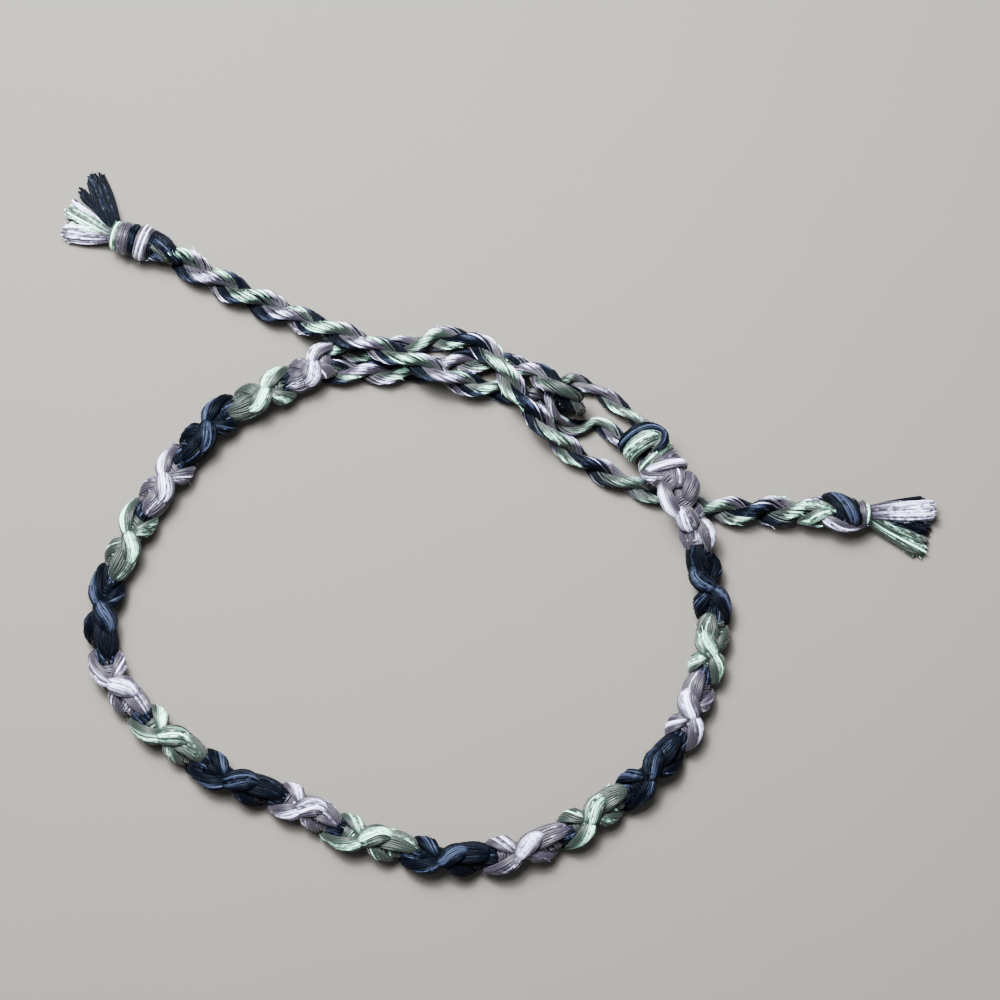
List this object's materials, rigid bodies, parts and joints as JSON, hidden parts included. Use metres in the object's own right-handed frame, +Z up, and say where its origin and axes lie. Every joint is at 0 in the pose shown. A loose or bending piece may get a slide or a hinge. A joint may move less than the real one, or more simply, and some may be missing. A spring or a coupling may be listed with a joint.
{
  "type": "friendship bracelet",
  "caption": "Knotted floss bracelet in lilac, sage green and navy, closed by a start loop and knotted, tasselled tails.",
  "frame": {"origin": "middle of the wrist opening, on the surface that the bracelet lies on", "axes": "+Z up from that surface, +X towards the right tail's tassel, +Y away from the viewer, towards the closure"},
  "size_m": [0.0876, 0.0699, 0.0064],
  "materials": {
    "lilac_floss": "soft sheen of mercerised cotton",
    "green_floss": "soft sheen of mercerised cotton",
    "navy_floss": "soft sheen of mercerised cotton"
  },
  "bodies": {
    "root": {"lilac_knots_1": "lilac_floss", "green_knots_1": "green_floss", "navy_knots_1": "navy_floss", "lilac_knots_2": "lilac_floss", "green_knots_2": "green_floss", "navy_knots_2": "navy_floss", "lilac_knots_3": "lilac_floss", "green_knots_3": "green_floss", "navy_knots_3": "navy_floss", "lilac_knots_4": "lilac_floss", "green_knots_4": "green_floss", "navy_knots_4": "navy_floss", "lilac_knots_5": "lilac_floss", "green_knots_5": "green_floss", "navy_knots_5": "navy_floss", "lilac_knots_6": "lilac_floss", "green_knots_6": "green_floss", "navy_knots_6": "navy_floss", "lilac_knots_7": "lilac_floss", "start_knot": "green_floss", "start_loop_ply_1": "green_floss", "start_loop_ply_2": "navy_floss", "right_tail_strand_1": "navy_floss", "right_tail_strand_2": "lilac_floss", "left_tail_strand_1": "green_floss", "left_tail_strand_2": "lilac_floss", "left_end_knot": "lilac_floss", "right_end_knot": "navy_floss", "left_tassel": "green_floss", "right_tassel": "lilac_floss"}
  },
  "joints": []
}
